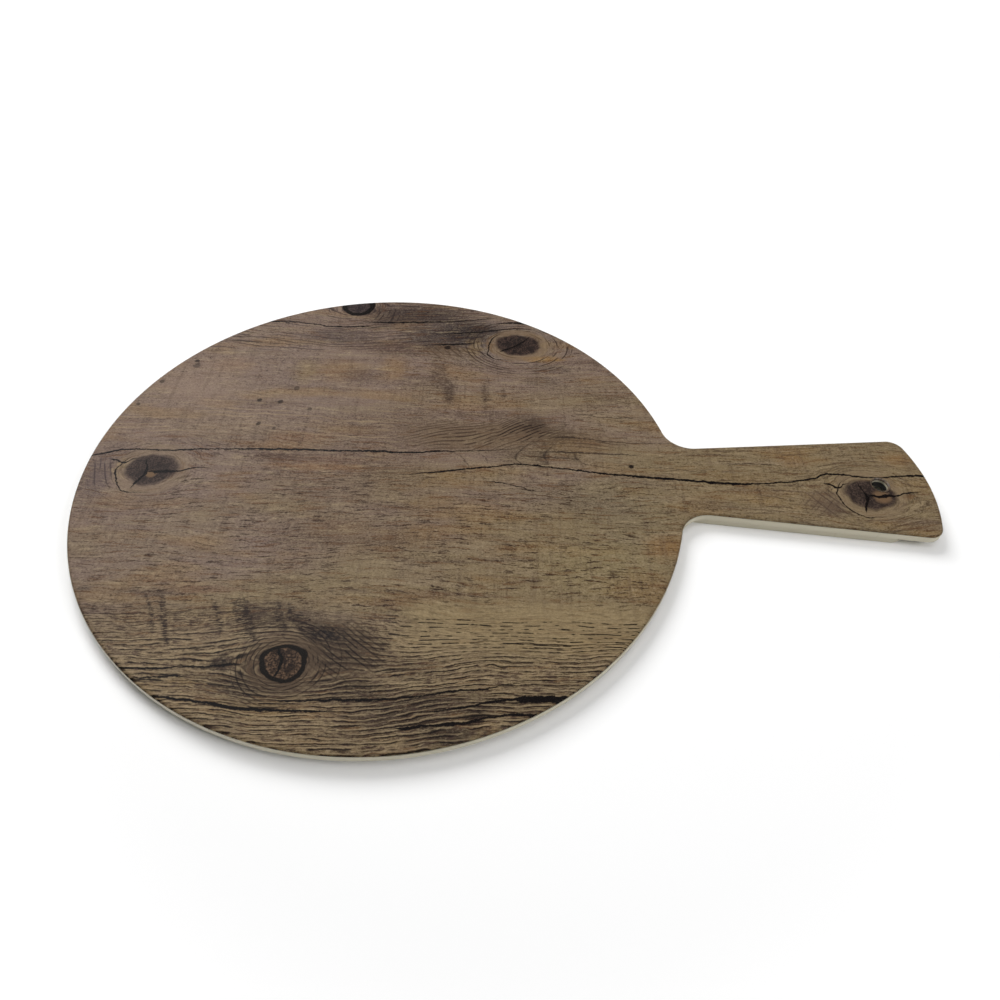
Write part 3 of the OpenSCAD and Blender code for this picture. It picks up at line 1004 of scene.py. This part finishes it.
def print_colour(spot, grain):
    """The colour of the wood-effect print, painted stage on stage."""
    kinked = grouped(crack_spot, spot)
    colour = grouped(print_base, spot)
    stages = [print_stains, print_grain, print_lines, print_slants, rim_knot, low_knot, top_knot]
    stages += [side_knot(*knot) for knot in SIDE_KNOTS] + [print_cracks]
    for stage in stages:
        places = [after(colour, place) for place in (spot, grain, kinked)]
        colour = grouped(stage, colour, *places)
    return made("Gamma", (colour, PRINT_GAMMA))


# Materials


# Cream melamine: its two tones and its specks, and the painted shade inside the hang hole
CREAM_TONES = (srgb(190, 182, 158), srgb(200, 193, 172))
CREAM_SPECK = srgb(176, 167, 142)
HOLE_PAINTED_SHADE = srgb(24, 22, 18)
# The two tones of the hole's mouth, which is coloured like the print
MOUTH_TONES = (srgb(104, 88, 70), srgb(66, 54, 44))
# How far outside a radius of the hole its colours fade out
HOLE_FADE = 0.3
# Heights at which the mouth's colour begins and is full, and those of the painted shade on the hole's wall
# below it
MOUTH_HEIGHTS = (TOP_Z - 1.1, TOP_Z - 0.9)
HOLE_SHADE_HEIGHTS = (TOP_Z - 1.9, TOP_Z - 2.4)


def cream_melamine():
    material, shader, spot = new_material("moulded_cream")
    cloud = noise(spot, 0.02, 0.05, 4.0, 2.0)
    speck = noise(spot, 0.9, 0.9, 6.0, 3.0)
    tone = paint(paint(*CREAM_TONES, cloud), CREAM_SPECK, fade(speck, 0.62, 0.8, 0.35))
    _, _, height = parts(spot)
    around = reach_from(spot, (HOLE_X, 0.0), (1.0, 1.0))
    mouth_r = HOLE_R + MOUTH_R
    mouth = fade(around, mouth_r + HOLE_FADE, mouth_r) * fade(height, *MOUTH_HEIGHTS)
    tone = paint(tone, paint(*MOUTH_TONES, fade(speck, 0.4, 0.6)), mouth)
    # Painted shade: the hole's wall is darkened below its lip, where shade falls inside the hole
    hole_shade = fade(around, HOLE_R + HOLE_FADE, HOLE_R + 0.1) * fade(height, *HOLE_SHADE_HEIGHTS)
    put(shader.inputs["Base Color"], paint(tone, HOLE_PAINTED_SHADE, hole_shade))
    put(shader.inputs["Roughness"], scaled(speck, 0.16, 0.3))
    put(shader.inputs["Normal"], bump(noise(spot, 0.35, 0.35, 8.0, 3.0), 0.05, 0.5))
    return material


def wood_print():
    """The print itself has no gloss. The clear overlay gives it."""
    material, shader, spot = new_material("printed_wood")
    grain = grouped(grain_spot, spot)
    put(shader.inputs["Base Color"], print_colour(spot, grain))
    put(shader.inputs["Roughness"], scaled(noise(grain, 0.3, 1.2, 31.0, 2.0), 0.14, 0.26))
    shader.inputs["Specular IOR Level"].default_value = 0.0
    put(shader.inputs["Normal"], bump(noise(grain, 0.15, 0.8, 33.0, 3.0), 0.04, 0.5))
    return material


# The overlay is nearly clear: the colour and share of what can be seen of it besides its gloss
FILM_TONE = srgb(70, 66, 61)
FILM_SHARE = 0.03


def clear_resin():
    material, shader, spot = new_material("clear_film")
    shader.inputs["Base Color"].default_value = FILM_TONE
    shader.inputs["Alpha"].default_value = FILM_SHARE
    put(shader.inputs["Roughness"], scaled(noise(spot, 0.12, 0.12, 35.0, 3.0), 0.16, 0.22))
    put(shader.inputs["Normal"], bump(noise(spot, 0.25, 0.25, 37.0, 3.0), 0.03, 0.4))
    return material


# Pieces


def top_edge(depth):
    """The rounded top edge of a layer that lies depth under the surface, from the rim to the flat."""
    return rounding(depth, TOP_Z - depth, TOP_EDGE_R - depth, 1, 1)


def board_piece(material):
    """The moulding: bed, rounded edge, wall, flange, both sides of the foot rim, and the hang hole."""
    steps = [(TOP_EDGE_R + FLAT_BAND, TOP_Z - SKIN_T)] + top_edge(SKIN_T)[::-1]
    steps += [(0.0, PRINT_EDGE_Z)] + rounding(0.0, FOOT_H, FLANGE_EDGE_R, 1, -1)
    fillet = rounding(0.0, FOOT_H, FOOT_FILLET_R, 1, 1)
    edge = rounding(0.0, 0.0, FOOT_EDGE_R, 1, -1)
    foot = [(-inset, z) for inset, z in fillet[::-1]] + edge
    foot += [(FOOT_WALL - inset, z) for inset, z in edge[::-1]]
    foot += [(FOOT_WALL + inset, z) for inset, z in fillet]
    foot.append((FOOT_WALL + FOOT_FILLET_R + FLAT_BAND, FOOT_H))
    outer = [loop(BOARD, inset, z) for inset, z in steps]
    outer += [loop(FOOT, inset, z) for inset, z in foot]
    mouth = rounding(HOLE_R, TOP_Z, MOUTH_R, 1, 1)[::-1]
    hole = [(HOLE_R + MOUTH_R, TOP_Z - SKIN_T)] + mouth + [(HOLE_R, FOOT_H)]
    return mesh_object("melamine_body", outer, [hole_loop(radius, z) for radius, z in hole], material)


def skin_piece(name, outer_depth, inner_depth, material):
    """A closed layer that covers the top and wraps the rounded edge, between two depths."""
    outside, inside = top_edge(outer_depth), top_edge(inner_depth)
    steps = [(TOP_EDGE_R + FLAT_BAND, TOP_Z - outer_depth)] + outside[::-1]
    steps += inside + [(TOP_EDGE_R + FLAT_BAND, TOP_Z - inner_depth)]
    outer = [loop(BOARD, inset, z) for inset, z in steps]
    hole = [hole_loop(HOLE_R + MOUTH_R, TOP_Z - depth) for depth in (outer_depth, inner_depth)]
    return mesh_object(name, outer, hole, material)


def build_pieces():
    board = board_piece(cream_melamine())
    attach(board, "root")
    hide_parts("melamine_board")
    sheet = skin_piece("wood_effect_sheet", OVERLAY_T, SKIN_T, wood_print())
    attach(sheet, "root")
    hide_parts("printed_sheet")
    overlay = skin_piece("overlay_skin", 0.0, OVERLAY_T - SKIN_GAP, clear_resin())
    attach(overlay, "root")
    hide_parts("clear_overlay")


# Stage

FLOOR_SIZE = 12.0
FLOOR_TONE = (0.96, 0.96, 0.96, 1)
FLOOR_ROUGHNESS = 0.9
# Glow of the floor: distances in mm from the board's middle where it begins and is full, and strength
FLOOR_GLOW = (200.0, 500.0, 0.8)
# Light from the world. What the camera sees of it is white.
WORLD_STRENGTH = 0.15
WHITE = (1, 1, 1, 1)
# Lamps, aimed at the board's middle: name, place and side in m, watts
LAMPS = [
    ("key", (-0.62, 0.88, 1.1), 0.9, 20),
    ("overhead", (0.1, -0.1, 1.4), 0.8, 4.6),
    ("right", (1.04, -0.6, 1.0), 0.6, 7.5),
]


def build_floor():
    mesh = bpy.data.meshes.new("floor")
    half = FLOOR_SIZE / 2
    corners = [(-half, -half, 0), (half, -half, 0), (half, half, 0), (-half, half, 0)]
    mesh.from_pydata(corners, [], [(0, 1, 2, 3)])
    floor = bpy.data.objects.new("floor", mesh)
    bpy.context.collection.objects.link(floor)
    material, shader, spot = new_material("pale_floor")
    shader.inputs["Base Color"].default_value = FLOOR_TONE
    shader.inputs["Roughness"].default_value = FLOOR_ROUGHNESS
    shader.inputs["Specular IOR Level"].default_value = 0.0
    shader.inputs["Emission Color"].default_value = WHITE
    rays = material.node_tree.nodes.new("ShaderNodeLightPath")
    shown = calc("MAXIMUM", Field(rays.outputs["Is Camera Ray"]), Field(rays.outputs["Is Glossy Ray"]))
    shown = calc("MAXIMUM", shown, Field(rays.outputs["Is Transmission Ray"]))
    put(shader.inputs["Emission Strength"], shown * fade(length(spot), *FLOOR_GLOW))
    mesh.materials.append(material)


def build_lights():
    world = bpy.data.worlds.new("studio")
    bpy.context.scene.world = world
    world.use_nodes = True
    ground = world.node_tree.nodes["Background"]
    ground.inputs["Color"].default_value = WHITE
    rays = world.node_tree.nodes.new("ShaderNodeLightPath")
    seen = Field(rays.outputs["Is Camera Ray"])
    put(ground.inputs["Strength"], scaled(seen, 1.0 - WORLD_STRENGTH, WORLD_STRENGTH))
    for name, place, side, power in LAMPS:
        data = bpy.data.lights.new(name, "AREA")
        data.size = side
        data.energy = power
        lamp = bpy.data.objects.new(name, data)
        bpy.context.collection.objects.link(lamp)
        lamp.location = place
        lamp.rotation_euler = (-Vector(place)).to_track_quat("-Z", "Y").to_euler()


# The camera as fitted to the photograph, in mm and pixels
CAMERA_PLACE = np.array([-18.5, -267.3, 285.6])
CAMERA_TARGET = np.array([-8.1, -18.7, 9.0])
CAMERA_ROLL = math.radians(-3.51)
FOCAL_PIXELS = 754.9
PICTURE_PIXELS = 1000
SENSOR_WIDTH = 36.0
# Nearest distance that the camera sees, in m
CLIP_START = 0.01


def build_camera():
    ahead = CAMERA_TARGET - CAMERA_PLACE
    ahead = ahead / np.linalg.norm(ahead)
    right = np.cross(ahead, [0, 0, 1])
    right = right / np.linalg.norm(right)
    down = np.cross(ahead, right)
    cos, sin = math.cos(CAMERA_ROLL), math.sin(CAMERA_ROLL)
    right, down = cos * right + sin * down, cos * down - sin * right
    data = bpy.data.cameras.new("camera")
    data.sensor_width = SENSOR_WIDTH
    data.sensor_fit = "HORIZONTAL"
    data.lens = FOCAL_PIXELS / PICTURE_PIXELS * SENSOR_WIDTH
    data.clip_start = CLIP_START
    camera = bpy.data.objects.new("camera", data)
    bpy.context.collection.objects.link(camera)
    turn = Matrix(np.stack([right, -down, -ahead], 1).tolist())
    camera.matrix_world = Matrix.Translation(Vector(CAMERA_PLACE) * MM) @ turn.to_4x4()
    bpy.context.scene.camera = camera


build_pieces()
build_floor()
build_lights()
build_camera()
bpy.context.scene.view_settings.view_transform = "Standard"
